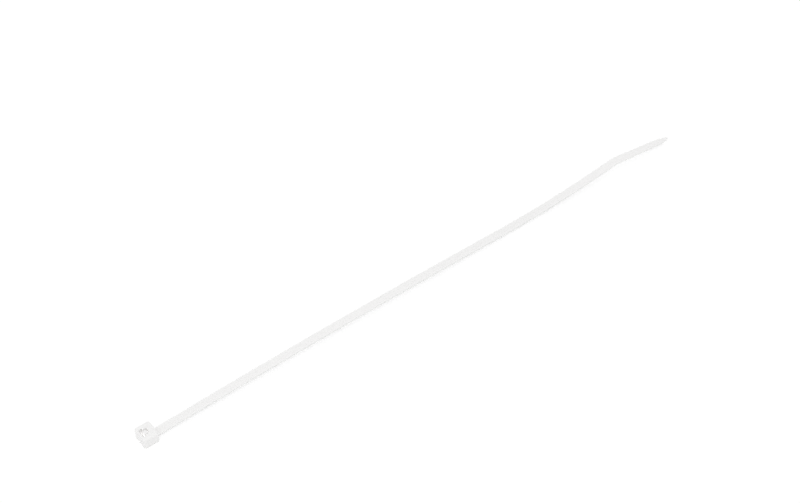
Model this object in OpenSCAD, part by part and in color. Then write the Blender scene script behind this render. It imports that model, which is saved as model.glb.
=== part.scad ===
// One-piece moulded nylon cable tie, lying as it comes to rest on a flat surface.
// The head stands at -X with its strap slot upright, the strap runs along +X
// with its toothed face down, and the thin tail bends down until its tip rests.
// Units are millimetres. The origin is the middle of the bounding box's base.

/* [Strap] */
// width of the strap, kept from the head to the bend
strap_width = 3.6; // [3.2:0.1:4.2]
// thickness of the strap between its smooth face and its side rails
strap_thickness = 1.1; // [1:0.05:1.3]
// bevel along the four long edges of the strap
strap_bevel = 0.2; // [0.1:0.05:0.25]
// height of the strap's toothed face above the head's resting face
strap_lift = 0.5; // [0.4:0.05:0.8]

/* [Lie of the strap] */
// upward pitch of the strap where it leaves the head, in degrees
root_pitch = 1.9; // [1.8:0.1:2.4]
// length of the gently arched run next to the head
arch_length = 171; // [140:1:190]
// angle through which the arched run turns downward, in degrees
arch_turn = 3.6; // [3:0.1:3.8]
// length of the run that sweeps back up towards the bend
sweep_length = 68; // [55:1:78]
// angle through which the sweeping run turns upward, in degrees
sweep_turn = 10; // [8:0.5:12]

/* [Tail] */
// length of the straight tail beyond the bend
tail_length = 32; // [28:1:38]
// radius of the strap's middle line in the bend
bend_radius = 8; // [6:1:12]
// width of the tail where its point begins
tail_width = 3.1; // [2.8:0.1:3.2]
// thickness of the tail at its tip
tip_thickness = 0.75; // [0.6:0.05:0.9]
// length over which the tail narrows to its point
point_length = 5; // [4:0.5:8]
// radius of the rounded end of the point
point_radius = 0.5; // [0.3:0.05:0.7]
// number of grip grooves across the underside of the tail
grip_count = 14; // [6:1:14]
// spacing of the grip grooves
grip_pitch = 1.5; // [1.2:0.1:1.5]
// depth of each grip groove
grip_depth = 0.2; // [0.1:0.05:0.25]

/* [Ratchet] */
// spacing of the ratchet teeth along the strap
tooth_pitch = 1.1; // [1:0.05:1.3]
// height of a ratchet tooth, from its root to its crest
tooth_height = 0.42; // [0.3:0.02:0.5]
// how far the crests lie below the surface of the side rails
crest_recess = 0.08; // [0.05:0.01:0.15]
// width of the smooth rail on each side of the teeth
rail_width = 0.65; // [0.5:0.05:0.7]
// plain length of strap between the head and the first tooth
plain_length = 9; // [6:1:16]
// plain length of strap between the last tooth and the bend
plain_end = 4; // [2:1:8]

/* [Head] */
// length of the head along the strap
head_length = 6.8; // [6.4:0.1:7.4]
// width of the head across the strap
head_width = 7.6; // [7:0.1:8.2]
// height of the head above the surface it rests on
head_height = 5.4; // [5:0.1:6]
// radius of the head's upright corners
corner_radius = 0.9; // [0.6:0.1:1.1]
// radius of the head's upper edges
crown_radius = 0.6; // [0.4:0.1:0.8]
// bevel around the head's resting face
foot_bevel = 0.25; // [0.15:0.05:0.35]
// wall between the slot and the free end of the head
end_wall = 1.1; // [1:0.1:1.2]
// leg of the triangular gusset between the head and the strap's smooth face
gusset_leg = 0.9; // [0.6:0.1:1.2]

/* [Slot and pawl] */
// play of the strap in the slot, in thickness and in width
slot_play = 0.3; // [0.2:0.05:0.4]
// bevel that leads the strap into the slot and out of it
slot_lead = 0.35; // [0.2:0.05:0.4]
// thickness of the living hinge that carries the pawl
hinge_thickness = 0.45; // [0.35:0.05:0.6]
// height of the pocket floor, where the hinge grows from the head
hinge_height = 1.1; // [0.9:0.05:1.2]
// free height of the hinge between the pocket floor and the body of the pawl
hinge_rise = 0.5; // [0.4:0.05:0.7]
// thickness of the pawl behind its teeth
pawl_thickness = 0.9; // [0.8:0.05:1]
// free space behind the pawl, which lets it give way to a tooth
pawl_travel = 0.6; // [0.5:0.05:0.7]
// depth of the pawl's free end below the top of the head
pawl_recess = 0.35; // [0.25:0.05:0.5]
// gap on each side of the pawl, to the strap's rails and to the pocket
pawl_gap = 0.15; // [0.1:0.05:0.2]

/* [Hidden] */
$fn = 96;

natural_nylon = [0.93, 0.93, 0.90];

// how far a cut runs past the face it opens, and a joint past the face it meets
past = 0.5;

// number of flat facets that stand for each curved run of the strap
arch_facets = 16;
sweep_facets = 32;
bend_facets = 10;

half_thickness = strap_thickness / 2;
channel_width = strap_width - 2 * rail_width;
tooth_root = crest_recess + tooth_height;

// slot and pocket inside the head, measured from the free end of the head
slot_gap = strap_thickness + slot_play;
slot_width = strap_width + slot_play;
slot_end = end_wall + slot_gap;
pawl_width = channel_width - 2 * pawl_gap;
pocket_width = channel_width + slot_play;
pawl_face = slot_end + pawl_gap;
pawl_back = pawl_face + pawl_thickness;
pocket_end = pawl_back + pawl_travel;
pawl_top = head_height - pawl_recess;
hinge_top = hinge_height + hinge_rise;
pawl_teeth = floor((pawl_top - hinge_top) / tooth_pitch);

// middle line of the strap in the XZ plane, made of arcs that run into each other
strap_start = [head_length, strap_lift + half_thickness];
arch_pitch = root_pitch - arch_turn;
sweep_pitch = arch_pitch + sweep_turn;
arch_end = run_point(strap_start, root_pitch, -arch_turn, arch_length, arch_length);
sweep_end = run_point(arch_end, arch_pitch, sweep_turn, sweep_length, sweep_length);

// the tail's pitch is the one at which the lower edge of its tip meets z = 0
bend_centre = sweep_end - bend_radius * normal(sweep_pitch);
under_radius = bend_radius - half_thickness;
tail_reach = norm([under_radius, tail_length]);
tail_pitch = atan2(tail_length, under_radius) - acos(-bend_centre.y / tail_reach);
bend_turn = tail_pitch - sweep_pitch;
bend_length = bend_radius * abs(bend_turn) * PI / 180;
tail_start = bend_centre + bend_radius * normal(tail_pitch);
tip_top = tip_thickness - half_thickness;
tip_x = tail_start.x + tail_length * cos(tail_pitch) - tip_top * sin(tail_pitch);

// distances along the strap at which its runs end
sweep_station = arch_length + sweep_length;
bend_station = sweep_station + bend_length;
tail_station = bend_station + tail_length;

// distances along the strap at which the smooth outline has a corner
outline_stations = concat(
    [-past],
    [for (i = [0:arch_facets]) i * arch_length / arch_facets],
    [for (i = [1:sweep_facets]) arch_length + i * sweep_length / sweep_facets],
    [for (i = [1:bend_facets]) sweep_station + i * bend_length / bend_facets]
);
last_outline = len(outline_stations) - 1;
tooth_count = floor((sweep_station - plain_length - plain_end) / tooth_pitch);

// unit vector square to a run of the given pitch, on its smooth side
function normal(pitch) = [-sin(pitch), cos(pitch)];

// radius of the arc that turns through the given angle over the given length
function run_radius(turn, length) = length * 180 / (PI * abs(turn));

function run_centre(start, pitch, turn, length) =
    start + sign(turn) * run_radius(turn, length) * normal(pitch);

// point of an arc's middle line at the distance s from its start
function run_point(start, pitch, turn, length, s) =
    run_centre(start, pitch, turn, length)
    - sign(turn) * run_radius(turn, length) * normal(pitch + turn * s / length);

function strap_pitch(s) =
    s < 0 ? root_pitch
    : s < arch_length ? root_pitch - arch_turn * s / arch_length
    : s < sweep_station ? arch_pitch + sweep_turn * (s - arch_length) / sweep_length
    : s < bend_station ? sweep_pitch + bend_turn * (s - sweep_station) / bend_length
    : tail_pitch;

function along(pitch) = [cos(pitch), sin(pitch)];

// point of the middle line at the distance s from the head
function middle_point(s) =
    s < 0 ? strap_start + s * along(root_pitch)
    : s < arch_length ? run_point(strap_start, root_pitch, -arch_turn, arch_length, s)
    : s < sweep_station
        ? run_point(arch_end, arch_pitch, sweep_turn, sweep_length, s - arch_length)
    : s < bend_station
        ? run_point(sweep_end, sweep_pitch, bend_turn, bend_length, s - sweep_station)
    : tail_start + (s - bend_station) * along(tail_pitch);

// point at the distance s along the strap, offset from its middle line
function strap_point(s, offset) = middle_point(s) + offset * normal(strap_pitch(s));

function tooth_station(i) = plain_length + i * tooth_pitch;

// rectangle from the origin with true round corners
module rounded_outline(size_x, size_y, radius) {
    translate([radius, 0]) square([size_x - 2 * radius, size_y]);
    translate([0, radius]) square([size_x, size_y - 2 * radius]);
    for (x = [radius, size_x - radius], y = [radius, size_y - radius])
        translate([x, y]) circle(r = radius);
}

// prism of a side view drawn in the XZ plane, centred on y = 0
module side_prism(width) {
    translate([0, width / 2, 0])
        rotate([90, 0, 0])
            linear_extrude(height = width)
                children();
}

// smooth outline of the whole strap seen from the side, from the head to the tip
module strap_side() {
    polygon(concat(
        [for (s = outline_stations) strap_point(s, half_thickness)],
        [strap_point(tail_station, tip_top), strap_point(tail_station, -half_thickness)],
        [for (i = [last_outline:-1:0]) strap_point(outline_stations[i], -half_thickness)]
    ));
}

// everything on the inner side of one bevel: an outline drawn square to the bevel
// and extruded along it, on the smooth side (top = 1) or the toothed side (top = -1)
module bevel_prism(top) {
    reach = strap_width / 2 - strap_bevel;
    tip_offset = top > 0 ? tip_top : -half_thickness;
    rim = concat(
        [for (s = outline_stations) strap_point(s, top * half_thickness)],
        [strap_point(tail_station, tip_offset), strap_point(tail_station + past, tip_offset)]
    );
    far = 4 * strap_width;
    rotate([top * 45, 0, 0])
        linear_extrude(height = 2 * far, center = true)
            polygon(concat(
                [for (p = rim) [p.x, (top * p.y + reach) * sin(45)]],
                [[rim[len(rim) - 1].x, -far], [rim[0].x, -far]]
            ));
}

// plan of the whole strap: even to the bend, then tapered, with a rounded point
module strap_plan() {
    root_x = strap_start.x - 2 * past;
    point_x = tip_x - point_length;
    round_x = tip_x - point_radius;
    root_y = strap_width / 2;
    point_y = tail_width / 2;
    polygon([
        [root_x, -root_y], [tail_start.x, -root_y], [point_x, -point_y],
        [round_x, -point_radius], [round_x, point_radius],
        [point_x, point_y], [tail_start.x, root_y], [root_x, root_y]
    ]);
    translate([round_x, 0]) circle(r = point_radius);
}

// space of the toothed channel: its upper outline is the row of ratchet teeth,
// each with a steep face towards the head and a ramp towards the tip
module ratchet_channel() {
    outside = -half_thickness - past;
    root = tooth_root - half_thickness;
    crest = crest_recess - half_thickness;
    side_prism(channel_width)
        polygon(concat(
            [strap_point(plain_length - tooth_pitch, outside)],
            [for (i = [0:tooth_count - 1]) each [
                strap_point(tooth_station(i), root),
                strap_point(tooth_station(i), crest)
            ]],
            [strap_point(tooth_station(tooth_count), root)],
            [for (i = [tooth_count:-1:0]) strap_point(tooth_station(i), outside)]
        ));
}

// row of shallow grooves across the underside of the tail
module grip_grooves() {
    groove = grip_pitch / 3;
    for (i = [1:grip_count])
        side_prism(strap_width + 2 * past)
            translate([i * grip_pitch, -half_thickness])
                polygon([
                    [-groove - past, -past], [-groove, 0], [0, grip_depth],
                    [groove, 0], [groove + past, -past]
                ]);
}

module strap() {
    difference() {
        intersection() {
            side_prism(strap_width) strap_side();
            intersection_for(top = [1, -1], side = [0, 1])
                mirror([0, side, 0]) bevel_prism(top);
            linear_extrude(height = 4 * head_height, center = true) strap_plan();
        }
        ratchet_channel();
        translate([tail_start.x, 0, tail_start.y])
            rotate([0, -tail_pitch, 0])
                grip_grooves();
    }
}

// outer form of the head: round upright corners and round upper edges
module head_block() {
    intersection() {
        translate([0, -head_width / 2, 0])
            linear_extrude(height = head_height)
                rounded_outline(head_length, head_width, corner_radius);
        side_prism(head_width)
            crowned_outline(head_length);
        rotate([0, 0, 90])
            translate([-head_width / 2, -head_length / 2, 0])
                side_prism(head_length)
                    crowned_outline(head_width);
    }
}

// upright outline with a bevelled foot and round upper corners
module crowned_outline(length) {
    crown = head_height - crown_radius;
    polygon([
        [foot_bevel, 0], [length - foot_bevel, 0], [length, foot_bevel], [length, crown],
        [length - crown_radius, crown], [length - crown_radius, head_height],
        [crown_radius, head_height], [crown_radius, crown], [0, crown], [0, foot_bevel]
    ]);
    for (x = [crown_radius, length - crown_radius])
        translate([x, crown]) circle(r = crown_radius);
}

// triangle that stiffens the corner between the head and the strap
module gusset() {
    foot = strap_start.y + half_thickness;
    side_prism(strap_width)
        polygon([
            [head_length - past, foot - past], [head_length + gusset_leg, foot - past],
            [head_length + gusset_leg, foot], [head_length, foot + gusset_leg],
            [head_length - past, foot + gusset_leg]
        ]);
}

// upright passage for the strap, bevelled at its entry and at its exit
module slot() {
    top = head_height;
    side_prism(slot_width)
        polygon([
            [end_wall - slot_lead - past, -past], [slot_end + slot_lead + past, -past],
            [slot_end, slot_lead], [slot_end, top + past],
            [end_wall - slot_lead - past, top + past], [end_wall, top - slot_lead],
            [end_wall, slot_lead]
        ]);
}

// space around the pawl, open towards the slot and at the top
module pocket() {
    side_prism(pocket_width)
        polygon([
            [slot_end - past, hinge_height], [pocket_end, hinge_height],
            [pocket_end, head_height + past], [slot_end - past, head_height + past]
        ]);
}

// pawl on its living hinge: its teeth catch the steep faces of the strap's teeth
module pawl() {
    crest = slot_end - tooth_height;
    hinge_back = pawl_face + hinge_thickness;
    side_prism(pawl_width)
        polygon(concat(
            [[pawl_face, hinge_height - past]],
            [for (i = [pawl_teeth - 1:-1:0]) each [
                [pawl_face, pawl_top - (i + 1) * tooth_pitch],
                [crest, pawl_top - i * tooth_pitch]
            ]],
            [
                [pawl_back, pawl_top], [pawl_back, hinge_top + hinge_thickness],
                [hinge_back, hinge_top], [hinge_back, hinge_height - past]
            ]
        ));
}

module cable_tie() {
    color(natural_nylon)
        translate([-tip_x / 2, 0, 0]) {
            difference() {
                union() {
                    head_block();
                    gusset();
                }
                slot();
                pocket();
            }
            pawl();
            strap();
        }
}

cable_tie();
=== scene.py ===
"""A moulded nylon cable tie, rebuilt with soft edges and dressed for a studio picture.

The tie lies as it comes to rest on a pale floor: its head at -X, its toothed face down and
its tail bent down to the tip. The strap is modelled straight, in millimetres, and then laid
along the line that its middle follows. The finished moulding is brought to metres, in the
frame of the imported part, whose node it stands for.
"""

import logging
import math
from collections.abc import Callable, Iterator
from contextlib import contextmanager
from dataclasses import dataclass, field
from enum import Enum, IntEnum

import bmesh
import bpy
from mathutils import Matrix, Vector


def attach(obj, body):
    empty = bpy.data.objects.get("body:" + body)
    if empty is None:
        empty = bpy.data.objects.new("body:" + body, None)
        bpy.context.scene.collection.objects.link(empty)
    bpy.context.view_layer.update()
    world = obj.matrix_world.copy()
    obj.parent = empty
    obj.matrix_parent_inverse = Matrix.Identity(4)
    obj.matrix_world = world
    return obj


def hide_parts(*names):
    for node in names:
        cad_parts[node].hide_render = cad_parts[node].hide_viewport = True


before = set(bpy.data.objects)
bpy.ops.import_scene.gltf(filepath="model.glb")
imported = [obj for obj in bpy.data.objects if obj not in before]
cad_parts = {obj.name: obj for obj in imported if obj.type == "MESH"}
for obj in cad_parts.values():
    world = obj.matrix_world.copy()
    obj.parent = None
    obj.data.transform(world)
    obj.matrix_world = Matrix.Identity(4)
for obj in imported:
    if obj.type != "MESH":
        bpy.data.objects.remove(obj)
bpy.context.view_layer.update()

log = logging.getLogger("cable_tie")

MILLIMETRE = 0.001
NODE = "cable_tie"

# two places closer than this, in millimetres, are the same place
TOUCH = 0.0005

# a face looks along an axis when its normal reaches this far along it
FACING = 0.9

# an edge is sharp when the surface turns by more than this there, in degrees
SHARP = 30.0

# a face or an edge leans towards an axis when its normal reaches this far along it
LEANING = 0.5

# a bevel whose profile is part of a circle
ROUND = 0.5

WHITE = (1.0, 1.0, 1.0, 1.0)

# a place, a way or a size along X, Y and Z
Triple = tuple[float, float, float]


class Axis(IntEnum):
    """An axis of the tie: along the strap, across it, and up."""

    X = 0
    Y = 1
    Z = 2


class Part(Enum):
    """Kind of mesh element that a hand would pick in edit mode."""

    VERTEX = "VERT"
    EDGE = "EDGE"
    FACE = "FACE"


class Combine(Enum):
    """What a boolean does with the second solid."""

    CUT = "DIFFERENCE"
    WELD = "UNION"


def near(first: float, second: float) -> bool:
    """Tell whether two places along an axis are the same place."""
    return abs(first - second) < TOUCH


def lies_at(
    element: bmesh.types.BMEdge | bmesh.types.BMFace, axis: Axis, at: float
) -> bool:
    """Tell whether all corners of an edge or a face share one place along an axis."""
    return all(near(v.co[axis], at) for v in element.verts)


def everything(element: object) -> bool:
    """Accept every vertex, edge or face."""
    return True


def single_out(piece: bpy.types.Object) -> None:
    """Select one object alone and make it active.

    Args:
        piece: The object to work on.
    """
    bpy.ops.object.select_all(action="DESELECT")
    piece.select_set(True)
    bpy.context.view_layer.objects.active = piece


@contextmanager
def shaping(piece: bpy.types.Object) -> Iterator[None]:
    """Keep a piece open in edit mode while it is shaped.

    Args:
        piece: The mesh object to open.
    """
    single_out(piece)
    bpy.ops.object.mode_set(mode="EDIT")
    try:
        yield
    finally:
        bpy.ops.object.mode_set(mode="OBJECT")


def pick(piece: bpy.types.Object, kind: Part, wanted: Callable[..., bool]) -> int:
    """Select, in the open piece, just the elements that a test accepts.

    Args:
        piece: The piece that is open in edit mode.
        kind: Kind of element to pick.
        wanted: Test of one vertex, edge or face.

    Returns:
        The number of elements that are selected.
    """
    bpy.ops.mesh.select_mode(type=kind.value)
    bpy.ops.mesh.select_all(action="DESELECT")
    mesh = bmesh.from_edit_mesh(piece.data)
    mesh.normal_update()
    elements = {
        Part.VERTEX: mesh.verts,
        Part.EDGE: mesh.edges,
        Part.FACE: mesh.faces,
    }
    chosen = [element for element in elements[kind] if wanted(element)]
    for element in chosen:
        element.select_set(True)
    mesh.select_flush_mode()
    bmesh.update_edit_mesh(piece.data)
    return len(chosen)


def middle(element: bmesh.types.BMEdge | bmesh.types.BMFace) -> Vector:
    """Return the mean place of an edge's or a face's corners."""
    return sum((v.co for v in element.verts), Vector()) / len(element.verts)


def turn_across(edge: bmesh.types.BMEdge) -> float:
    """Return the angle in degrees by which the surface turns at an edge."""
    return math.degrees(edge.calc_face_angle(0.0))


def block(name: str, low: Triple, high: Triple) -> bpy.types.Object:
    """Add a cube at its size and place, as the start of a piece.

    Args:
        name: Name of the new object.
        low: Lowest corner.
        high: Highest corner.

    Returns:
        The new object, with its place in its mesh.
    """
    size = Vector(high) - Vector(low)
    bpy.ops.object.select_all(action="DESELECT")
    bpy.ops.mesh.primitive_cube_add(size=1, location=(Vector(low) + Vector(high)) / 2)
    piece = bpy.context.active_object
    piece.name = name
    piece.scale = size
    bpy.ops.object.transform_apply(location=True, rotation=True, scale=True)
    return piece


def slice_across(
    piece: bpy.types.Object, wanted: Callable[..., bool], axis: Axis, at: float
) -> None:
    """Cut the picked faces of the open piece along a plane, leaving both sides.

    Args:
        piece: The piece that is open in edit mode.
        wanted: Test of the faces to cut.
        axis: Axis square to the plane.
        at: Place of the plane on that axis.
    """
    pick(piece, Part.FACE, wanted)
    place, normal = Vector(), Vector()
    place[axis], normal[axis] = at, 1.0
    bpy.ops.mesh.bisect(plane_co=place, plane_no=normal, threshold=TOUCH)


def pull(piece: bpy.types.Object, wanted: Callable[..., bool], by: Triple) -> None:
    """Extrude the picked faces of the open piece.

    Args:
        piece: The piece that is open in edit mode.
        wanted: Test of the faces to pull.
        by: Way along which they are pulled.
    """
    pick(piece, Part.FACE, wanted)
    bpy.ops.mesh.extrude_region_move(TRANSFORM_OT_translate={"value": by})


def shift(piece: bpy.types.Object, wanted: Callable[..., bool], by: Triple) -> None:
    """Move the picked vertices of the open piece.

    Args:
        piece: The piece that is open in edit mode.
        wanted: Test of the vertices to move.
        by: Way along which they are moved.
    """
    pick(piece, Part.VERTEX, wanted)
    bpy.ops.transform.translate(value=by)


def press(piece: bpy.types.Object, wanted: Callable[..., bool], level: float) -> None:
    """Press the picked vertices of the open piece flat to one height.

    Args:
        piece: The piece that is open in edit mode.
        wanted: Test of the vertices to press.
        level: The height at which they end.
    """
    if pick(piece, Part.VERTEX, wanted):
        bpy.ops.transform.resize(value=(1, 1, 0), center_override=(0, 0, level))


def narrow(piece: bpy.types.Object, wanted: Callable[..., bool], share: float) -> None:
    """Scale the picked vertices of the open piece across the strap, about its middle.

    Args:
        piece: The piece that is open in edit mode.
        wanted: Test of the vertices to scale.
        share: Share of their width that they keep.
    """
    pick(piece, Part.VERTEX, wanted)
    bpy.ops.transform.resize(value=(1, share, 1), center_override=(0, 0, 0))


def drop_faces(piece: bpy.types.Object, wanted: Callable[..., bool]) -> None:
    """Delete the picked faces of the open piece, and leave their edges that others use."""
    pick(piece, Part.FACE, wanted)
    bpy.ops.mesh.delete(type="FACE")


def soften(
    piece: bpy.types.Object, wanted: Callable[..., bool], radius: float, segments: int
) -> int:
    """Round the picked edges of the open piece.

    Args:
        piece: The piece that is open in edit mode.
        wanted: Test of the edges to round.
        radius: Radius of the rounding.
        segments: Number of faces across it.

    Returns:
        The number of edges that were rounded.
    """
    count = pick(piece, Part.EDGE, wanted)
    if count:
        bpy.ops.mesh.bevel(
            offset=radius, segments=segments, profile=ROUND, affect="EDGES"
        )
    return count


def merge_touching(piece: bpy.types.Object) -> None:
    """Merge the corners of the open piece that share a place."""
    pick(piece, Part.VERTEX, everything)
    bpy.ops.mesh.remove_doubles(threshold=TOUCH)


def combine(piece: bpy.types.Object, tool: bpy.types.Object, how: Combine) -> None:
    """Cut or weld one solid with another, which is used up.

    Args:
        piece: The solid that is kept.
        tool: The solid that is used up.
        how: What is done with it.
    """
    single_out(piece)
    step = piece.modifiers.new(how.name.lower(), "BOOLEAN")
    step.operation = how.value
    step.solver = "EXACT"
    step.object = tool
    bpy.ops.object.modifier_apply(modifier=step.name)
    bpy.data.objects.remove(tool)


@dataclass
class Lie:
    """The line that the strap's middle follows as the tie lies at rest, in the XZ plane.

    Lengths are in millimetres and angles in degrees. The length of the head and the
    thickness of the strap are kept here, because the line starts and ends by them.
    """

    head_length: float = 6.8
    strap_lift: float = 0.5
    strap_thickness: float = 1.1
    root_pitch: float = 1.9
    arch_length: float = 171.0
    arch_turn: float = 3.6
    sweep_length: float = 68.0
    sweep_turn: float = 10.0
    tail_length: float = 32.0
    bend_radius: float = 8.0
    tip_thickness: float = 0.75
    run_out: float = 1.0
    step: float = 0.25

    def __post_init__(self) -> None:
        """Work out where the runs of the strap meet and how far the tail bends down."""
        self.start = Vector((self.head_length, self.strap_lift + self.strap_thickness / 2))
        self.arch_pitch = self.root_pitch - self.arch_turn
        self.sweep_pitch = self.arch_pitch + self.sweep_turn
        self.arch_end = self.on_arch(self.arch_length)
        self.sweep_end = self.on_sweep(self.sweep_length)
        centre = self.sweep_end - self.bend_radius * self.square_to(self.sweep_pitch)
        under = self.bend_radius - self.strap_thickness / 2
        reach = math.hypot(under, self.tail_length)
        self.tail_pitch = math.degrees(
            math.atan2(self.tail_length, under) - math.acos(-centre.y / reach)
        )
        self.bend_turn = self.tail_pitch - self.sweep_pitch
        self.bend_length = self.bend_radius * math.radians(abs(self.bend_turn))
        self.tail_start = centre + self.bend_radius * self.square_to(self.tail_pitch)
        self.bend_station = self.arch_length + self.sweep_length
        self.tail_station = self.bend_station + self.bend_length
        self.tip_station = self.tail_station + self.tail_length
        tip_top = self.tip_thickness - self.strap_thickness / 2
        pitch = math.radians(self.tail_pitch)
        along, up = self.tail_length * math.cos(pitch), tip_top * math.sin(pitch)
        tip = self.tail_start.x + along - up
        self.head_face = -tip / 2

    @staticmethod
    def square_to(pitch: float) -> Vector:
        """Return the unit vector square to a run of the given pitch, on its smooth side."""
        angle = math.radians(pitch)
        return Vector((-math.sin(angle), math.cos(angle)))

    def on_arc(
        self, start: Vector, pitch: float, turn: float, length: float, at: float
    ) -> Vector:
        """Find a point of an arc.

        Args:
            start: Where the arc starts.
            pitch: Its pitch there, in degrees.
            turn: Angle through which it turns, in degrees, upward if positive.
            length: Its whole length.
            at: Distance along it.

        Returns:
            The point, as (x, z).
        """
        radius = length / math.radians(turn)
        centre = start + radius * self.square_to(pitch)
        return centre - radius * self.square_to(pitch + turn * at / length)

    def on_arch(self, at: float) -> Vector:
        """Find a point of the long flat arch beside the head, by its distance along it."""
        return self.on_arc(
            self.start, self.root_pitch, -self.arch_turn, self.arch_length, at
        )

    def on_sweep(self, at: float) -> Vector:
        """Find a point of the shallow dip before the bend, by its distance along it."""
        return self.on_arc(
            self.arch_end, self.arch_pitch, self.sweep_turn, self.sweep_length, at
        )

    def on_bend(self, at: float) -> Vector:
        """Find a point of the bend, by its distance along it."""
        return self.on_arc(
            self.sweep_end, self.sweep_pitch, self.bend_turn, self.bend_length, at
        )

    def point(self, station: float) -> Vector:
        """Find a point of the middle line.

        Args:
            station: Distance along the strap from the head.

        Returns:
            The point, as (x, z), in the frame of the tie.
        """
        if station < self.arch_length:
            place = self.on_arch(station)
        elif station < self.bend_station:
            place = self.on_sweep(station - self.arch_length)
        elif station < self.tail_station:
            place = self.on_bend(station - self.bend_station)
        else:
            angle = math.radians(self.tail_pitch)
            run = Vector((math.cos(angle), math.sin(angle)))
            place = self.tail_start + (station - self.tail_station) * run
        return place + Vector((self.head_face, 0))

    def curve(self) -> bpy.types.Object:
        """Draw the middle line as a curve that a strap can be laid along.

        Returns:
            The curve object.
        """
        count = round((self.tip_station + self.run_out) / self.step)
        line = bpy.data.curves.new("lie", "CURVE")
        line.dimensions = "3D"
        line.twist_mode = "Z_UP"
        line.use_deform_bounds = False
        spline = line.splines.new("POLY")
        spline.points.add(count)
        for index, corner in enumerate(spline.points):
            place = self.point(index * self.step)
            corner.co = (place.x, 0, place.y, 1)
        drawn = bpy.data.objects.new("lie", line)
        bpy.context.scene.collection.objects.link(drawn)
        return drawn


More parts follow.
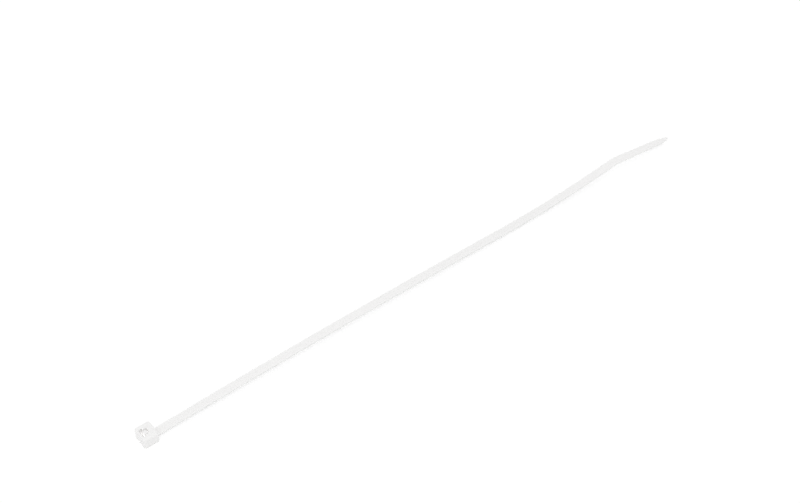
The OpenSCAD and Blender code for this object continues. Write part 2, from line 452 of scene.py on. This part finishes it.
@dataclass
class Strap:
    """The strap: a plain root, a long ratchet and a tapered tail with grip scallops.

    It is modelled straight, with its middle line on the X axis, in millimetres.
    """

    lie: Lie
    width: float = 3.6
    edge_radius: float = 0.2
    edge_segments: int = 4
    fine_segments: int = 2
    channel_width: float = 2.3
    tooth_pitch: float = 1.1
    tooth_height: float = 0.42
    crest_recess: float = 0.08
    crest_radius: float = 0.05
    rim_radius: float = 0.06
    first_tooth: float = 9.0
    tooth_count: int = 206
    root_inset: float = 1.0
    gusset_leg: float = 0.9
    gusset_segments: int = 6
    bend_cuts: int = 12
    point_width: float = 3.1
    tip_width: float = 0.77
    tip_corner: float = 0.34
    tip_segments: int = 6
    point_length: float = 5.0
    grip_count: int = 14
    grip_pitch: float = 1.5
    grip_depth: float = 0.2
    grip_steps: tuple[float, ...] = (-0.5, -0.36, -0.22, -0.09, 0.09, 0.22, 0.36, 0.5)

    def __post_init__(self) -> None:
        """Work out the levels and stations that the runs share."""
        self.thickness = self.lie.strap_thickness
        self.side = self.width / 2
        self.top = self.thickness / 2
        self.bottom = -self.thickness / 2
        self.wall = self.channel_width / 2
        self.crest = self.bottom + self.crest_recess
        self.mid_ramp = self.crest + self.tooth_height / 2
        self.teeth_start = self.first_tooth - self.tooth_pitch / 2
        self.channel_end = self.first_tooth + self.tooth_count * self.tooth_pitch
        self.teeth_end = self.channel_end + self.tooth_pitch / 2

    @staticmethod
    def faces_down(face: bmesh.types.BMFace) -> bool:
        """Tell whether a face is part of the underside."""
        return face.normal.z < -FACING

    @staticmethod
    def faces_up(face: bmesh.types.BMFace) -> bool:
        """Tell whether a face is part of the smooth upper side."""
        return face.normal.z > FACING

    def link(self) -> bpy.types.Object:
        """Model one pitch of the ratchet, from the middle of a ramp to that of the next.

        Returns:
            The open-ended piece, which starts at x = 0.
        """
        half, full = self.tooth_pitch / 2, self.tooth_pitch
        rise = self.tooth_height / 2
        piece = block(
            "ratchet", (0, -self.side, self.bottom), (full, self.side, self.top)
        )
        with shaping(piece):
            drop_faces(piece, lambda f: abs(f.normal.x) > FACING)
            slice_across(piece, self.faces_down, Axis.Y, -self.wall)
            slice_across(piece, self.faces_down, Axis.Y, self.wall)

            def in_channel(face: bmesh.types.BMFace) -> bool:
                return face.normal.z < -LEANING and abs(middle(face).y) < self.wall

            slice_across(piece, in_channel, Axis.X, half)
            pull(piece, in_channel, (0, 0, self.crest_recess))
            drop_faces(piece, lambda f: abs(f.normal.x) > FACING)
            pull(piece, lambda f: in_channel(f) and middle(f).x < half, (0, 0, rise))
            drop_faces(
                piece, lambda f: abs(f.normal.x) > FACING and middle(f).x < TOUCH
            )
            shift(
                piece,
                lambda v: near(v.co.z, self.mid_ramp) and near(v.co.x, half),
                (0, 0, rise),
            )
            shift(
                piece,
                lambda v: near(v.co.z, self.crest) and near(v.co.x, full),
                (0, 0, rise),
            )

            def splits_wall(edge: bmesh.types.BMEdge) -> bool:
                levels = sorted(v.co.z for v in edge.verts)
                along = near(levels[0], self.crest) and near(levels[1], self.crest)
                upright = near(levels[0], self.bottom) and near(levels[1], self.crest)
                across = not near(edge.verts[0].co.y, edge.verts[1].co.y)
                return (along or upright) and not across

            pick(piece, Part.EDGE, splits_wall)
            bpy.ops.mesh.dissolve_edges(use_verts=True)
        return piece

    def toothed_run(self) -> bpy.types.Object:
        """Repeat the link along the whole ratchet, and one more where the channel ends.

        Returns:
            The open-ended run, at its place on the straight strap.
        """
        piece = self.link()
        single_out(piece)
        row = piece.modifiers.new("row", "ARRAY")
        row.count = self.tooth_count + 1
        row.use_relative_offset = False
        row.use_constant_offset = True
        row.constant_offset_displace = (self.tooth_pitch, 0, 0)
        row.use_merge_vertices = True
        row.merge_threshold = TOUCH
        bpy.ops.object.modifier_apply(modifier=row.name)
        piece.location.x = self.teeth_start
        bpy.ops.object.transform_apply(location=True)
        return piece

    def root_run(self) -> bpy.types.Object:
        """Model the plain run that grows from the head, with the gusset on its smooth face.

        Returns:
            The run, open towards the teeth.
        """
        piece = block(
            "root",
            (-self.root_inset, -self.side, self.bottom),
            (self.teeth_start, self.side, self.top),
        )
        with shaping(piece):
            drop_faces(piece, lambda f: f.normal.x > FACING)
            slice_across(piece, self.faces_down, Axis.Y, -self.wall)
            slice_across(piece, self.faces_down, Axis.Y, self.wall)
            slice_across(piece, self.faces_up, Axis.X, self.gusset_leg)
            slice_across(piece, self.faces_up, Axis.X, 0)
            shift(
                piece,
                lambda v: v.co.x < TOUCH and near(v.co.z, self.top),
                (0, 0, self.gusset_leg),
            )
            soften(
                piece,
                lambda e: lies_at(e, Axis.X, self.gusset_leg),
                self.gusset_leg / 2,
                self.gusset_segments,
            )
        return piece

    def tail_run(self) -> bpy.types.Object:
        """Model the run beyond the ratchet: plain strap, bend and tapered tail.

        Returns:
            The run, straight and open towards the teeth.
        """
        tail, tip = self.lie.tail_station, self.lie.tip_station
        point = tip - self.point_length
        last_ramp = self.teeth_end + self.tooth_pitch
        piece = block(
            "tail",
            (self.teeth_end, -self.side, self.bottom),
            (tip, self.side, self.top),
        )
        thinning = (self.thickness - self.lie.tip_thickness) / (tip - tail)
        with shaping(piece):
            drop_faces(piece, lambda f: f.normal.x < -FACING)
            slice_across(piece, everything, Axis.X, last_ramp)
            for wall in (-self.wall, self.wall):
                slice_across(
                    piece,
                    lambda f: self.faces_down(f) and middle(f).x < last_ramp,
                    Axis.Y,
                    wall,
                )
            for station in (tail, point):
                slice_across(piece, everything, Axis.X, station)
            narrow(piece, lambda v: near(v.co.x, point), self.point_width / self.width)
            narrow(piece, lambda v: near(v.co.x, tip), self.tip_width / self.width)
            for station in (point, tip):
                shift(
                    piece,
                    lambda v: near(v.co.x, station) and v.co.z > 0,
                    (0, 0, -thinning * (station - tail)),
                )
            cut = self.lie.bend_length / self.bend_cuts
            for index in range(self.bend_cuts):
                slice_across(
                    piece, everything, Axis.X, self.lie.bend_station + index * cut
                )
            for station, _ in self.grip_stations():
                slice_across(piece, everything, Axis.X, station)
            soften(
                piece,
                lambda e: lies_at(e, Axis.X, tip)
                and not near(e.verts[0].co.z, e.verts[1].co.z),
                self.tip_corner,
                self.tip_segments,
            )
        return piece

    def grip_stations(self) -> list[tuple[float, float]]:
        """List the stations of the grip scallops and how deep each one is cut there.

        Returns:
            Pairs of a distance along the strap and a depth.
        """
        reach = max(self.grip_steps)
        return [
            (
                self.lie.tail_station + number * self.grip_pitch + offset,
                self.grip_depth * (1 + math.cos(math.pi * offset / reach)) / 2,
            )
            for number in range(1, self.grip_count + 1)
            for offset in self.grip_steps
        ]

    def close_channel(self, piece: bpy.types.Object) -> None:
        """Run the channel's floor out to the underside at both of its ends.

        Args:
            piece: The joined strap, open in edit mode.
        """
        press(
            piece,
            lambda v: near(v.co.x, self.teeth_start) and near(v.co.z, self.mid_ramp),
            self.bottom,
        )
        press(
            piece,
            lambda v: self.channel_end - TOUCH < v.co.x < self.teeth_end + TOUCH
            and (near(v.co.z, self.crest) or near(v.co.z, self.mid_ramp)),
            self.bottom,
        )
        merge_touching(piece)

    def round_edges(self, piece: bpy.types.Object) -> None:
        """Round the crests, the channel's rim and the long edges of the strap.

        Args:
            piece: The joined strap, open in edit mode.
        """

        def is_crest(edge: bmesh.types.BMEdge) -> bool:
            return lies_at(edge, Axis.Z, self.crest)

        def is_rim(edge: bmesh.types.BMEdge) -> bool:
            on_rim = all(
                near(v.co.z, self.bottom)
                and abs(v.co.y) < self.wall + TOUCH
                and 0 < v.co.x < self.teeth_end + TOUCH
                for v in edge.verts
            )
            return on_rim and turn_across(edge) > SHARP

        def is_outer(edge: bmesh.types.BMEdge) -> bool:
            steep, flat = sorted(abs(face.normal.z) for face in edge.link_faces)
            place = middle(edge)
            outside = abs(place.y) > self.wall + TOUCH or place.x > self.teeth_end
            crosses = steep < 1 - FACING and flat > LEANING
            return outside and crosses and place.x > -self.root_inset + TOUCH

        soften(piece, is_crest, self.crest_radius, self.fine_segments)
        soften(piece, is_rim, self.rim_radius, self.fine_segments)
        soften(piece, is_outer, self.edge_radius, self.edge_segments)

    def scallop(self, piece: bpy.types.Object) -> None:
        """Press the grip scallops into the underside of the tail.

        Args:
            piece: The joined strap, open in edit mode.
        """
        for station, depth in self.grip_stations():
            level = self.bottom + depth
            press(piece, lambda v: near(v.co.x, station) and v.co.z < level, level)

    def lay(self, piece: bpy.types.Object) -> None:
        """Bend the straight strap along its lie.

        Args:
            piece: The finished straight strap.
        """
        line = self.lie.curve()
        single_out(piece)
        bend = piece.modifiers.new("lie", "CURVE")
        bend.object = line
        bend.deform_axis = "POS_X"
        bpy.ops.object.modifier_apply(modifier=bend.name)
        bpy.data.objects.remove(line)

    def build(self) -> bpy.types.Object:
        """Model the whole strap at its place.

        Returns:
            The strap as one closed solid, in millimetres.
        """
        runs = [self.toothed_run(), self.root_run(), self.tail_run()]
        bpy.ops.object.select_all(action="DESELECT")
        for run in runs:
            run.select_set(True)
        piece = runs[0]
        bpy.context.view_layer.objects.active = piece
        bpy.ops.object.join()
        piece.name = "strap"
        with shaping(piece):
            merge_touching(piece)
            self.close_channel(piece)
            self.round_edges(piece)
            self.scallop(piece)
        self.lay(piece)
        return piece


@dataclass
class Head:
    """The head: a soft-edged block with the strap's slot, the pawl's pocket and the pawl.

    Sizes are in millimetres. A cutting solid reaches `past` the faces that it cuts.
    """

    strap: Strap
    width: float = 7.6
    height: float = 5.4
    corner_radius: float = 0.9
    corner_segments: int = 10
    crown_radius: float = 0.6
    crown_segments: int = 8
    foot_radius: float = 0.25
    foot_segments: int = 4
    rim_radius: float = 0.08
    rim_segments: int = 3
    end_wall: float = 1.1
    slot_gap: float = 1.4
    slot_width: float = 3.9
    slot_lead: float = 0.35
    pocket_width: float = 2.6
    pocket_corner: float = 0.2
    pocket_segments: int = 4
    pawl_width: float = 2.0
    pawl_edge: float = 0.05
    pawl_segments: int = 2
    pawl_gap: float = 0.15
    pawl_thickness: float = 0.9
    pawl_travel: float = 0.6
    pawl_recess: float = 0.35
    hinge_thickness: float = 0.45
    hinge_height: float = 1.1
    hinge_rise: float = 0.5
    cavity_height: float = 2.2
    tooth_count: int = 3
    past: float = 0.5

    def __post_init__(self) -> None:
        """Work out the places inside the head, in the frame of the tie."""
        self.face = self.strap.lie.head_face
        self.joint = self.face + self.strap.lie.head_length
        self.slot_start = self.face + self.end_wall
        self.slot_end = self.slot_start + self.slot_gap
        self.pawl_face = self.slot_end + self.pawl_gap
        self.pawl_back = self.pawl_face + self.pawl_thickness
        self.pocket_end = self.pawl_back + self.pawl_travel
        self.pawl_top = self.height - self.pawl_recess
        self.hinge_top = self.hinge_height + self.hinge_rise
        # middle of the slot and pocket, where the painted light is centred
        self.cavity = Vector(
            ((self.slot_start + self.pocket_end) / 2, 0, self.cavity_height)
        )

    def body(self) -> bpy.types.Object:
        """Model the outer form: round upright corners, round crown, softened foot.

        Returns:
            The solid block.
        """
        piece = block(
            "head",
            (self.face, -self.width / 2, 0),
            (self.joint, self.width / 2, self.height),
        )
        with shaping(piece):
            soften(
                piece,
                lambda e: not near(e.verts[0].co.z, e.verts[1].co.z),
                self.corner_radius,
                self.corner_segments,
            )
            soften(
                piece,
                lambda e: lies_at(e, Axis.Z, self.height),
                self.crown_radius,
                self.crown_segments,
            )
            soften(
                piece,
                lambda e: lies_at(e, Axis.Z, 0),
                self.foot_radius,
                self.foot_segments,
            )
        return piece

    def slot_space(self) -> bpy.types.Object:
        """Model the space of the slot, flared where the strap enters and leaves.

        Returns:
            The solid to cut from the head.
        """
        reach = self.slot_lead + self.past
        piece = block(
            "slot",
            (self.slot_start, -self.slot_width / 2, -self.past),
            (self.slot_end, self.slot_width / 2, self.height + self.past),
        )
        with shaping(piece):
            for level in (self.slot_lead, self.height - self.slot_lead):
                slice_across(piece, everything, Axis.Z, level)
            shift(
                piece,
                lambda v: v.co.z < -TOUCH and near(v.co.x, self.slot_start),
                (-reach, 0, 0),
            )
            shift(
                piece,
                lambda v: v.co.z < -TOUCH and near(v.co.x, self.slot_end),
                (reach, 0, 0),
            )
            shift(
                piece,
                lambda v: v.co.z > self.height and near(v.co.x, self.slot_start),
                (-reach, 0, 0),
            )
        return piece

    def pocket_space(self) -> bpy.types.Object:
        """Model the space round the pawl, with a rounded floor and rounded corners.

        Returns:
            The solid to cut from the head.
        """
        piece = block(
            "pocket",
            (self.slot_end - self.past, -self.pocket_width / 2, self.hinge_height),
            (self.pocket_end, self.pocket_width / 2, self.height + self.past),
        )
        with shaping(piece):
            soften(
                piece,
                lambda e: lies_at(e, Axis.X, self.pocket_end)
                and not all(v.co.z > self.height for v in e.verts),
                self.pocket_corner,
                self.pocket_segments,
            )
        return piece

    def pawl(self) -> bpy.types.Object:
        """Model the pawl on its living hinge, with ratchet teeth towards the slot.

        Returns:
            The solid to weld into the head.
        """
        side = self.pawl_width / 2
        hinge_back = self.pawl_face + self.hinge_thickness
        piece = block(
            "pawl",
            (self.pawl_face, -side, self.hinge_top),
            (self.pawl_back, side, self.pawl_top),
        )
        with shaping(piece):
            slice_across(piece, lambda f: abs(f.normal.x) < FACING, Axis.X, hinge_back)
            pull(
                piece,
                lambda f: f.normal.z < -FACING and middle(f).x < hinge_back,
                (0, 0, -self.hinge_rise - self.past),
            )
            shift(
                piece,
                lambda v: near(v.co.x, self.pawl_back) and near(v.co.z, self.hinge_top),
                (0, 0, self.hinge_thickness),
            )
            for number in range(self.tooth_count):
                self.add_tooth(piece, self.pawl_top - number * self.strap.tooth_pitch)
            soften(
                piece,
                lambda e: turn_across(e) > SHARP and middle(e).z > self.hinge_height,
                self.pawl_edge,
                self.pawl_segments,
            )
        return piece

    def add_tooth(self, piece: bpy.types.Object, ledge: float) -> None:
        """Pull one ratchet tooth out of the pawl's face.

        Args:
            piece: The pawl, open in edit mode.
            ledge: Height of the tooth's steep upper face.
        """
        foot = ledge - self.strap.tooth_pitch
        reach = self.pawl_gap + self.strap.tooth_height

        def is_front(face: bmesh.types.BMFace) -> bool:
            return face.normal.x < -FACING and near(middle(face).x, self.pawl_face)

        slice_across(piece, is_front, Axis.Z, foot)
        pull(
            piece,
            lambda f: is_front(f) and foot < middle(f).z < ledge,
            (-reach, 0, 0),
        )
        shift(
            piece,
            lambda v: v.co.x < self.pawl_face - TOUCH and near(v.co.z, foot),
            (reach, 0, 0),
        )
        merge_touching(piece)

    def soften_rims(self, piece: bpy.types.Object) -> None:
        """Round the rims that the slot and the pocket leave in the two flat faces.

        Args:
            piece: The head with its slot and pocket cut.
        """
        flare = self.slot_lead + TOUCH

        def is_rim(edge: bmesh.types.BMEdge) -> bool:
            on_flat = lies_at(edge, Axis.Z, self.height) or lies_at(edge, Axis.Z, 0)
            inside = all(
                self.slot_start - flare < v.co.x < self.pocket_end + TOUCH
                and abs(v.co.y) < self.slot_width / 2 + TOUCH
                for v in edge.verts
            )
            return inside and on_flat and turn_across(edge) > SHARP

        with shaping(piece):
            merge_touching(piece)
            soften(piece, is_rim, self.rim_radius, self.rim_segments)

    def build(self) -> bpy.types.Object:
        """Model the whole head at its place.

        Returns:
            The head as one closed solid, in millimetres.
        """
        piece = self.body()
        combine(piece, self.slot_space(), Combine.CUT)
        combine(piece, self.pocket_space(), Combine.CUT)
        self.soften_rims(piece)
        combine(piece, self.pawl(), Combine.WELD)
        return piece


def add_noise(
    tree: bpy.types.NodeTree, place: bpy.types.NodeSocket, scale: float, detail: float
) -> bpy.types.NodeSocket:
    """Add a noise pattern to a material.

    Args:
        tree: The material's node tree.
        place: Coordinates that the pattern follows.
        scale: How often it repeats in a metre.
        detail: Number of finer layers on top of the first.

    Returns:
        The socket that holds the pattern, from 0 to 1.
    """
    noise = tree.nodes.new("ShaderNodeTexNoise")
    noise.inputs["Scale"].default_value = scale
    noise.inputs["Detail"].default_value = detail
    tree.links.new(place, noise.inputs["Vector"])
    return noise.outputs["Fac"]


def add_range(
    tree: bpy.types.NodeTree, value: bpy.types.NodeSocket, low: float, high: float
) -> bpy.types.NodeSocket:
    """Add a node that stretches a value from 0 to 1 over a range.

    Args:
        tree: The node tree of a material or of the world.
        value: Socket that holds the value.
        low: What 0 becomes.
        high: What 1 becomes.

    Returns:
        The socket that holds the result.
    """
    spread = tree.nodes.new("ShaderNodeMapRange")
    spread.inputs["To Min"].default_value = low
    spread.inputs["To Max"].default_value = high
    tree.links.new(value, spread.inputs["Value"])
    return spread.outputs["Result"]


def add_mix(
    tree: bpy.types.NodeTree, share: bpy.types.NodeSocket, first: Triple, second: Triple
) -> bpy.types.NodeSocket:
    """Add a mix of two colours to a material.

    Args:
        tree: The material's node tree.
        share: Socket that holds the share of the second colour.
        first: Colour where the share is 0.
        second: Colour where the share is 1.

    Returns:
        The socket that holds the colour.
    """
    mix = tree.nodes.new("ShaderNodeMix")
    mix.data_type = "RGBA"
    mix.inputs["A"].default_value = (*first, 1)
    mix.inputs["B"].default_value = (*second, 1)
    tree.links.new(share, mix.inputs["Factor"])
    return mix.outputs["Result"]


@dataclass(frozen=True)
class NaturalNylon:
    """Finish of undyed moulded nylon: milky, faintly see-through, satin.

    Scales are repeats in a metre and lengths are in metres. The thin walls round the
    head's slot and pocket let light through, and painted light stands in for that: an
    emission that lifts the shade inside the slot and pocket, so that the slot looks pale.
    It is full near the middle of the cavity and fades to nothing at a set reach from it.
    """

    pale: Triple = (0.966, 0.960, 0.956)
    deep: Triple = (0.950, 0.944, 0.938)
    cloud_scale: float = 260.0
    cloud_detail: float = 4.0
    roughness: tuple[float, float] = (0.36, 0.48)
    flow_scale: float = 900.0
    flow_detail: float = 3.0
    flow_stretch: Triple = (0.15, 1.0, 1.0)
    grain_scale: float = 5200.0
    grain_detail: float = 2.0
    grain_share: float = 0.35
    bump_height: float = 0.00001
    bump_strength: float = 0.35
    ior: float = 1.53
    specular: float = 0.45
    softness: float = 0.3
    depth: float = 0.0008
    spread: Triple = (1.0, 1.0, 1.0)
    # painted light: emission that lifts the shade inside the head's slot and pocket
    painted_glow: float = 0.42
    painted_glow_core: float = 0.3
    painted_glow_reach: Triple = (0.0026, 0.0029, 0.0029)

    def material(self, cavity: Vector) -> bpy.types.Material:
        """Build the material's nodes.

        Args:
            cavity: Middle of the head's slot and pocket, in metres.

        Returns:
            The material.
        """
        made = bpy.data.materials.new("moulded_nylon")
        made.use_nodes = True
        tree = made.node_tree
        place = tree.nodes.new("ShaderNodeTexCoord").outputs["Object"]
        clouds = add_noise(tree, place, self.cloud_scale, self.cloud_detail)
        tone = add_mix(tree, clouds, self.deep, self.pale)
        flow = self.add_flow(tree, place)
        inputs = tree.nodes["Principled BSDF"].inputs
        for name, value in (
            ("IOR", self.ior),
            ("Specular IOR Level", self.specular),
            ("Subsurface Weight", self.softness),
            ("Subsurface Radius", self.spread),
            ("Subsurface Scale", self.depth),
        ):
            inputs[name].default_value = value
        for name, source in (
            ("Base Color", tone),
            ("Roughness", add_range(tree, flow, *self.roughness)),
            ("Normal", self.add_relief(tree, place, flow)),
            ("Emission Color", tone),
            # painted light that lifts the shade inside the slot and pocket
            ("Emission Strength", self.add_painted_glow(tree, place, cavity)),
        ):
            tree.links.new(source, inputs[name])
        return made

    def add_flow(
        self, tree: bpy.types.NodeTree, place: bpy.types.NodeSocket
    ) -> bpy.types.NodeSocket:
        """Add the faint lines that the nylon leaves as it flows along the mould.

        Args:
            tree: The material's node tree.
            place: Coordinates on the piece.

        Returns:
            The socket that holds the pattern.
        """
        stretch = tree.nodes.new("ShaderNodeMapping")
        stretch.inputs["Scale"].default_value = self.flow_stretch
        tree.links.new(place, stretch.inputs["Vector"])
        along = stretch.outputs["Vector"]
        return add_noise(tree, along, self.flow_scale, self.flow_detail)

    def add_relief(
        self,
        tree: bpy.types.NodeTree,
        place: bpy.types.NodeSocket,
        flow: bpy.types.NodeSocket,
    ) -> bpy.types.NodeSocket:
        """Add the fine relief of the surface, from the mould's grain and the flow lines.

        Args:
            tree: The material's node tree.
            place: Coordinates on the piece.
            flow: Pattern of the flow lines.

        Returns:
            The socket that holds the normal.
        """
        grain = add_noise(tree, place, self.grain_scale, self.grain_detail)
        height = tree.nodes.new("ShaderNodeMath")
        height.operation = "MULTIPLY_ADD"
        factor, share, rest = height.inputs
        tree.links.new(grain, factor)
        share.default_value = self.grain_share
        tree.links.new(flow, rest)
        bump = tree.nodes.new("ShaderNodeBump")
        bump.inputs["Strength"].default_value = self.bump_strength
        bump.inputs["Distance"].default_value = self.bump_height
        tree.links.new(height.outputs["Value"], bump.inputs["Height"])
        return bump.outputs["Normal"]

    def add_painted_glow(
        self, tree: bpy.types.NodeTree, place: bpy.types.NodeSocket, cavity: Vector
    ) -> bpy.types.NodeSocket:
        """Add the painted light: emission that lifts the shade on the walls round the
        cavity.

        Args:
            tree: The material's node tree.
            place: Coordinates on the piece.
            cavity: Middle of the head's slot and pocket, in metres.

        Returns:
            The socket that holds the strength of the painted light.
        """
        centred = tree.nodes.new("ShaderNodeMapping")
        centred.vector_type = "TEXTURE"
        centred.inputs["Location"].default_value = cavity
        centred.inputs["Scale"].default_value = self.painted_glow_reach
        tree.links.new(place, centred.inputs["Vector"])
        away = tree.nodes.new("ShaderNodeVectorMath")
        away.operation = "LENGTH"
        tree.links.new(centred.outputs["Vector"], away.inputs[0])
        fade = tree.nodes.new("ShaderNodeMapRange")
        fade.interpolation_type = "SMOOTHSTEP"
        fade.inputs["From Min"].default_value = 1.0
        fade.inputs["From Max"].default_value = self.painted_glow_core
        fade.inputs["To Max"].default_value = self.painted_glow
        tree.links.new(away.outputs["Value"], fade.inputs["Value"])
        return fade.outputs["Result"]


@dataclass
class CableTie:
    """The whole tie: strap and head in one moulding."""

    finish: NaturalNylon = field(default_factory=NaturalNylon)
    fillet: float = 0.12
    fillet_segments: int = 3
    smooth_below: float = 28.0

    def build(self) -> bpy.types.Object:
        """Model the moulding, dress it and hang it in the frame.

        Returns:
            The finished piece, in metres.
        """
        strap = Strap(Lie())
        head = Head(strap)
        long_run = strap.build()
        log.info("strap: %d faces", len(long_run.data.polygons))
        piece = head.build()
        log.info("head: %d faces", len(piece.data.polygons))
        combine(piece, long_run, Combine.WELD)
        piece.name = "tie_moulding"
        with shaping(piece):
            merge_touching(piece)
            self.fill_joint(piece, head)
            pick(piece, Part.FACE, everything)
            bpy.ops.mesh.normals_make_consistent(inside=False)
        self.dress(piece, head.cavity * MILLIMETRE)
        return piece

    def fill_joint(self, piece: bpy.types.Object, head: Head) -> None:
        """Round the corner in which the strap meets the head.

        Args:
            piece: The welded moulding, open in edit mode.
            head: Sizes of the head and of its strap.
        """
        strap = head.strap
        low = strap.lie.strap_lift - self.fillet
        high = strap.lie.strap_lift + strap.thickness + strap.gusset_leg + self.fillet

        def is_joint(edge: bmesh.types.BMEdge) -> bool:
            beside = all(
                abs(v.co.y) < strap.side + TOUCH and low < v.co.z < high
                for v in edge.verts
            )
            on_joint = lies_at(edge, Axis.X, head.joint) and beside
            return on_joint and turn_across(edge) > SHARP

        count = soften(piece, is_joint, self.fillet, self.fillet_segments)
        log.info("joint: %d edges rounded", count)

    def dress(self, piece: bpy.types.Object, cavity: Vector) -> None:
        """Bring the moulding to metres, with its finish and its place in the frame.

        Args:
            piece: The finished moulding, in millimetres.
            cavity: Middle of the head's slot and pocket, in metres.
        """
        single_out(piece)
        piece.scale = (MILLIMETRE,) * 3
        bpy.ops.object.transform_apply(location=False, rotation=False, scale=True)
        bpy.ops.object.shade_smooth_by_angle(angle=math.radians(self.smooth_below))
        even = piece.modifiers.new("even", "WEIGHTED_NORMAL")
        even.keep_sharp = True
        bpy.ops.object.modifier_apply(modifier=even.name)
        piece.data.name = piece.name
        piece.data.materials.clear()
        piece.data.materials.append(self.finish.material(cavity))
        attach(piece, "root")
        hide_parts(NODE)
        log.info("%s: %d faces", piece.name, len(piece.data.polygons))


@dataclass
class Studio:
    """The pale floor, the soft light and the camera, in metres and degrees.

    The floor lies a hair under the tie, so that the head's lower face doesn't meet it.
    """

    azimuth: float = -37.1
    elevation: float = 48.4
    distance: float = 0.728
    target: Triple = (0.0012, 0.0186, 0.0)
    lens: float = 76.4
    sensor_width: float = 36.0
    clip: tuple[float, float] = (0.01, 20.0)
    sky: float = 0.82
    lamp_power: float = 1.0
    lamp_azimuth: float = -50.0
    lamp_elevation: float = 62.0
    lamp_distance: float = 0.9
    lamp_size: float = 0.7
    floor_size: float = 6.0
    floor_gap: float = 0.00002
    floor_roughness: float = 0.9
    floor_specular: float = 0.1
    floor_tone: float = 0.94
    floor_shadow: float = 0.35
    floor_lift: float = 0.70

    @staticmethod
    def direction(azimuth: float, elevation: float) -> Vector:
        """Return the unit vector from the object towards a place round it.

        Args:
            azimuth: Angle round the object in degrees; 0 is at -Y, 90 at +X.
            elevation: Angle above the floor in degrees.

        Returns:
            The unit vector.
        """
        turn, rise = math.radians(azimuth), math.radians(elevation)
        return Vector(
            (
                math.sin(turn) * math.cos(rise),
                -math.cos(turn) * math.cos(rise),
                math.sin(rise),
            )
        )

    def aim(self, thing: bpy.types.Object, way: Vector, distance: float) -> None:
        """Put a lamp or a camera at a distance from the target and point it there.

        Args:
            thing: The object to place.
            way: Unit vector from the target towards it.
            distance: Distance from the target.
        """
        thing.location = Vector(self.target) + way * distance
        thing.rotation_euler = (-way).to_track_quat("-Z", "Y").to_euler()

    def add_camera(self) -> None:
        """Add the camera at the picture's viewing angle."""
        data = bpy.data.cameras.new("camera")
        data.lens = self.lens
        data.sensor_width = self.sensor_width
        data.clip_start, data.clip_end = self.clip
        camera = bpy.data.objects.new("camera", data)
        bpy.context.scene.collection.objects.link(camera)
        self.aim(camera, self.direction(self.azimuth, self.elevation), self.distance)
        bpy.context.scene.camera = camera

    def add_lamp(self) -> None:
        """Add the large soft lamp at the head's end of the tie."""
        data = bpy.data.lights.new("lamp", "AREA")
        data.shape = "DISK"
        data.size = self.lamp_size
        data.energy = self.lamp_power
        lamp = bpy.data.objects.new("lamp", data)
        bpy.context.scene.collection.objects.link(lamp)
        way = self.direction(self.lamp_azimuth, self.lamp_elevation)
        self.aim(lamp, way, self.lamp_distance)

    @staticmethod
    def seen_directly(tree: bpy.types.NodeTree) -> bpy.types.NodeSocket:
        """Add nodes that give 1 to rays that show the background, and 0 to others.

        Args:
            tree: The node tree of the floor or the world.

        Returns:
            The socket that holds the mask.
        """
        path = tree.nodes.new("ShaderNodeLightPath")
        total = path.outputs["Is Camera Ray"]
        for name in ("Is Glossy Ray", "Is Transmission Ray"):
            adder = tree.nodes.new("ShaderNodeMath")
            adder.operation = "ADD"
            adder.use_clamp = True
            tree.links.new(total, adder.inputs[0])
            tree.links.new(path.outputs[name], adder.inputs[1])
            total = adder.outputs["Value"]
        return total

    def add_world(self) -> None:
        """Light the scene from all round, and show plain white behind the floor."""
        world = bpy.data.worlds.new("world")
        world.use_nodes = True
        bpy.context.scene.world = world
        tree = world.node_tree
        background = tree.nodes["Background"]
        background.inputs["Color"].default_value = WHITE
        strength = add_range(tree, self.seen_directly(tree), self.sky, 1.0)
        tree.links.new(strength, background.inputs["Strength"])

    def add_floor(self) -> None:
        """Add the pale floor, which shows near white and keeps a faint shadow."""
        bpy.ops.object.select_all(action="DESELECT")
        bpy.ops.mesh.primitive_plane_add(
            size=self.floor_size, location=(0, 0, -self.floor_gap)
        )
        floor = bpy.context.active_object
        floor.name = "floor"
        made = bpy.data.materials.new("pale_floor")
        made.use_nodes = True
        tree = made.node_tree
        inputs = tree.nodes["Principled BSDF"].inputs
        inputs["Roughness"].default_value = self.floor_roughness
        inputs["Specular IOR Level"].default_value = self.floor_specular
        inputs["Emission Color"].default_value = WHITE
        mask = self.seen_directly(tree)
        tone = add_mix(tree, mask, (self.floor_tone,) * 3, (self.floor_shadow,) * 3)
        tree.links.new(tone, inputs["Base Color"])
        lift = add_range(tree, mask, 0.0, self.floor_lift)
        tree.links.new(lift, inputs["Emission Strength"])
        floor.data.materials.append(made)

    def build(self) -> None:
        """Set up the floor, the light and the camera."""
        self.add_floor()
        self.add_world()
        self.add_lamp()
        self.add_camera()
        bpy.context.scene.view_settings.view_transform = "Standard"


def main() -> None:
    """Build the tie and its studio in order."""
    logging.basicConfig(level=logging.INFO, format="%(name)s: %(message)s")
    Studio().build()
    CableTie().build()


if __name__ == "__main__":
    main()
